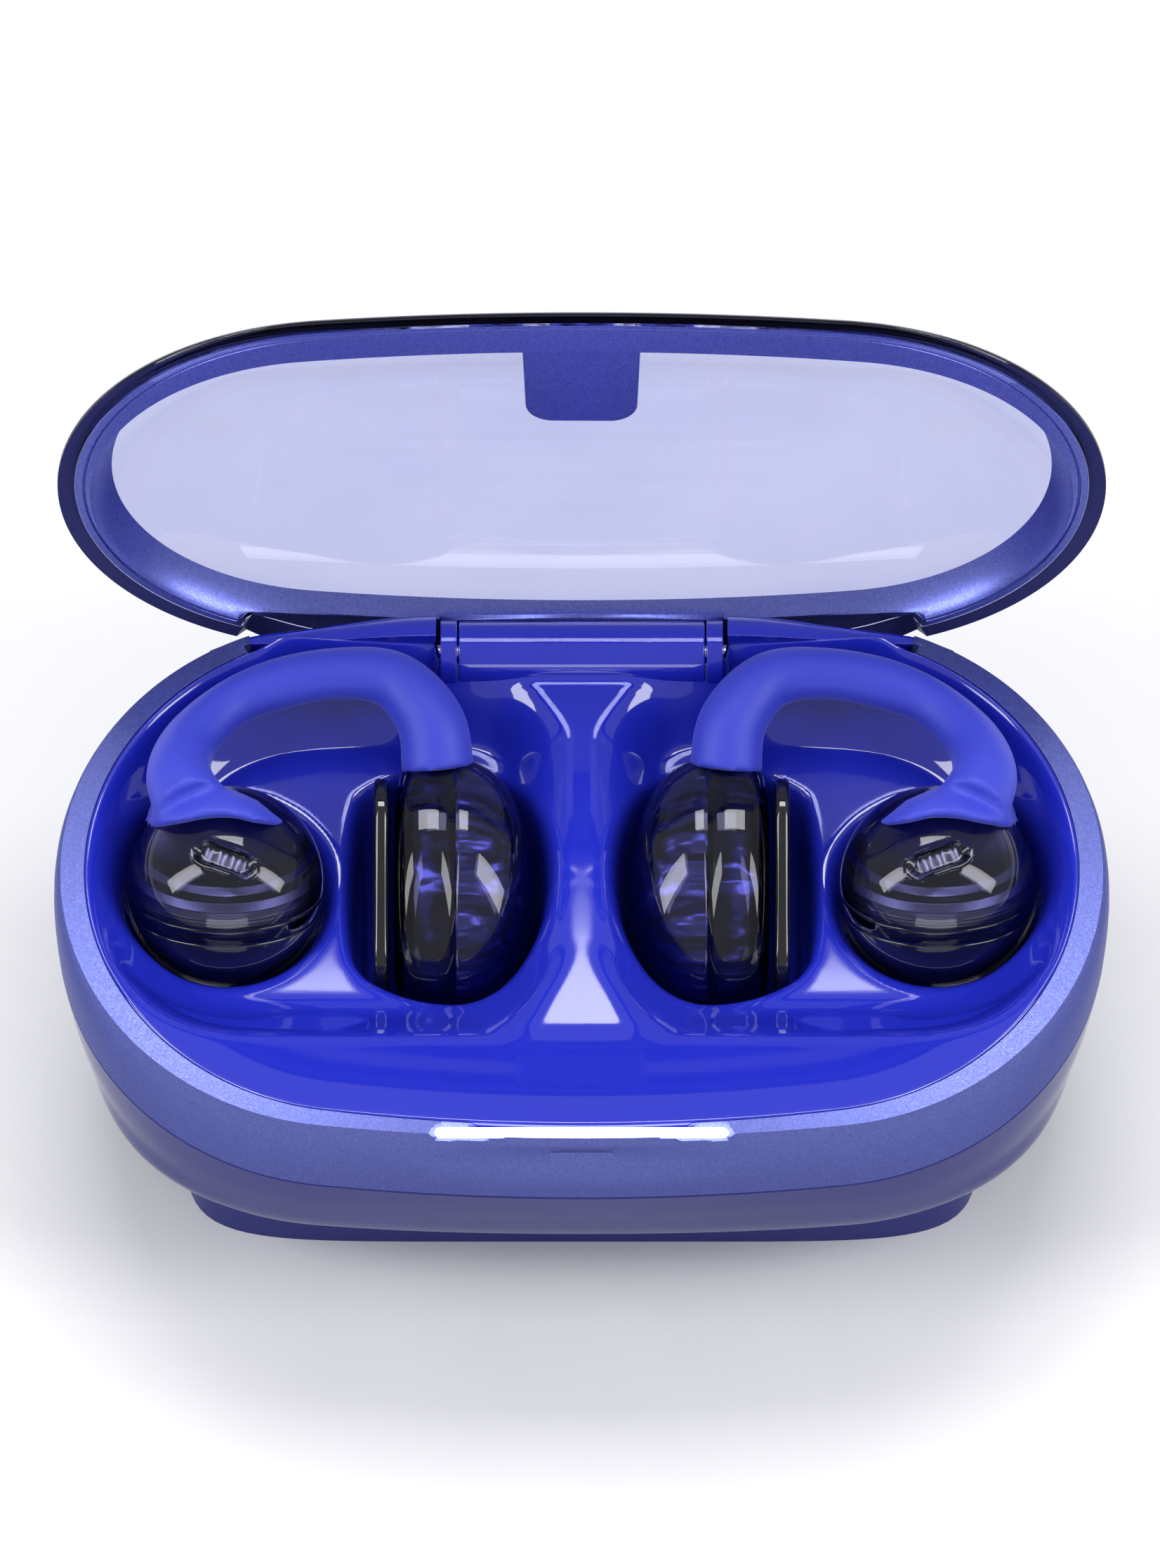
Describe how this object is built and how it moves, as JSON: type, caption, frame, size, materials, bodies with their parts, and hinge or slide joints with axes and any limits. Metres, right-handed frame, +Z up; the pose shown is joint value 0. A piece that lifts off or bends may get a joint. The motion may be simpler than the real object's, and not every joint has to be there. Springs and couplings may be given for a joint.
{
  "type": "charging case with clip earbuds",
  "caption": "Pocket charging case with a see-through hinged lid, a light bar and two open-ear clip earbuds seated in glossy wells.",
  "frame": {"origin": "centre of the foot's bottom face, on the surface that the case stands on", "axes": "+Z up, +X to the case's right seen from the front, +Y to its back, where the hinge is"},
  "size_m": [0.0746, 0.0523, 0.0666],
  "materials": {
    "tinted_shell": "clear tinted polycarbonate",
    "lid_tint": "clear tinted polycarbonate",
    "trim_metallic": "satin metallic flake",
    "tray_gloss": "high gloss",
    "light_diffuser": "glowing diffuser",
    "circuit_board": "solder mask",
    "steel": "brushed",
    "chip_black": "moulded",
    "cell_wrap": "satin foil",
    "contact_gold": "gold plated",
    "magnet_nickel": "nickel plated",
    "smoky_shell": "clear smoky polycarbonate",
    "button_black": "piano black",
    "silicone": "matte liquid silicone",
    "speaker_ring": "smoky gloss"
  },
  "bodies": {
    "base": {"bar_board": "circuit_board", "base_shell": "tinted_shell", "board_screws": "steel", "case_cell": "cell_wrap", "catch_magnet": "magnet_nickel", "charging_socket": "steel", "foot_plate": "tinted_shell", "hinge_pin": "steel", "inner_tray": "tray_gloss", "left_dock_magnet": "magnet_nickel", "lid_sensor": "chip_black", "light_bar": "light_diffuser", "main_board": "circuit_board", "pin_barrels": "contact_gold", "power_chips": "chip_black", "right_dock_magnet": "magnet_nickel", "socket_tongue": "chip_black", "trim_band": "trim_metallic"},
    "lid": {"hinge_knuckle": "trim_metallic", "latch_tab": "trim_metallic", "lid_dome": "lid_tint", "lid_liner": "trim_metallic", "lid_magnet": "magnet_nickel"},
    "left_pod": {"left_bridge_sleeve": "silicone", "left_bridge_wire": "steel", "left_button_switch": "chip_black", "left_contact_pads": "contact_gold", "left_microphone": "chip_black", "left_pod_board": "circuit_board", "left_pod_cell": "cell_wrap", "left_pod_inner_shell": "smoky_shell", "left_pod_magnet": "magnet_nickel", "left_pod_outer_shell": "smoky_shell"},
    "left_speaker": {"left_sound_grille": "steel", "left_speaker_cap": "button_black", "left_speaker_driver": "steel", "left_speaker_ring": "speaker_ring", "left_speaker_shell": "smoky_shell"},
    "left_button": {"left_button_plate": "button_black"},
    "left_pin_outer": {"left_pin_outer": "contact_gold"},
    "left_pin_inner": {"left_pin_inner": "contact_gold"},
    "right_pod": {"right_bridge_sleeve": "silicone", "right_bridge_wire": "steel", "right_button_switch": "chip_black", "right_contact_pads": "contact_gold", "right_microphone": "chip_black", "right_pod_board": "circuit_board", "right_pod_cell": "cell_wrap", "right_pod_inner_shell": "smoky_shell", "right_pod_magnet": "magnet_nickel", "right_pod_outer_shell": "smoky_shell"},
    "right_speaker": {"right_sound_grille": "steel", "right_speaker_cap": "button_black", "right_speaker_driver": "steel", "right_speaker_ring": "speaker_ring", "right_speaker_shell": "smoky_shell"},
    "right_button": {"right_button_plate": "button_black"},
    "right_pin_outer": {"right_pin_outer": "contact_gold"},
    "right_pin_inner": {"right_pin_inner": "contact_gold"}
  },
  "joints": [
    {"name": "lid_hinge", "type": "hinge", "parent": "base", "child": "lid", "pos_m": [0, 0.01864, 0.0265], "axis": [-1, 0, 0], "range_deg": [-93.6, 0]},
    {"name": "left_lift", "type": "slide", "parent": "base", "child": "left_pod", "axis": [0, 0, 1], "range_m": [0, 0.035]},
    {"name": "left_flex", "type": "hinge", "parent": "left_pod", "child": "left_speaker", "pos_m": [-0.0213, 0.0149, 0.0287], "axis": [0, 0, -1], "range_deg": [0, 12.5], "deforming": ["left_bridge_sleeve", "left_bridge_wire"]},
    {"name": "left_button_press", "type": "slide", "parent": "left_pod", "child": "left_button", "axis": [1, 0, 0], "range_m": [0, 0.0003], "stiffness_N_per_m": 600, "springref_m": -0.0008},
    {"name": "left_pin_outer_travel", "type": "slide", "parent": "base", "child": "left_pin_outer", "axis": [0, 0, 1], "range_m": [-0.0006, 0], "stiffness_N_per_m": 150, "springref_m": 0.0008},
    {"name": "left_pin_inner_travel", "type": "slide", "parent": "base", "child": "left_pin_inner", "axis": [0, 0, 1], "range_m": [-0.0006, 0], "stiffness_N_per_m": 150, "springref_m": 0.0008},
    {"name": "right_lift", "type": "slide", "parent": "base", "child": "right_pod", "axis": [0, 0, 1], "range_m": [0, 0.035]},
    {"name": "right_flex", "type": "hinge", "parent": "right_pod", "child": "right_speaker", "pos_m": [0.0213, 0.0149, 0.0287], "axis": [0, 0, 1], "range_deg": [0, 12.5], "deforming": ["right_bridge_sleeve", "right_bridge_wire"]},
    {"name": "right_button_press", "type": "slide", "parent": "right_pod", "child": "right_button", "axis": [-1, 0, 0], "range_m": [0, 0.0003], "stiffness_N_per_m": 600, "springref_m": -0.0008},
    {"name": "right_pin_outer_travel", "type": "slide", "parent": "base", "child": "right_pin_outer", "axis": [0, 0, 1], "range_m": [-0.0006, 0], "stiffness_N_per_m": 150, "springref_m": 0.0008},
    {"name": "right_pin_inner_travel", "type": "slide", "parent": "base", "child": "right_pin_inner", "axis": [0, 0, 1], "range_m": [-0.0006, 0], "stiffness_N_per_m": 150, "springref_m": 0.0008}
  ],
  "couplings": [
    {"joint": "left_flex", "follows": "left_lift", "rad_per_m": 5.984},
    {"joint": "right_flex", "follows": "right_lift", "rad_per_m": 5.984}
  ]
}
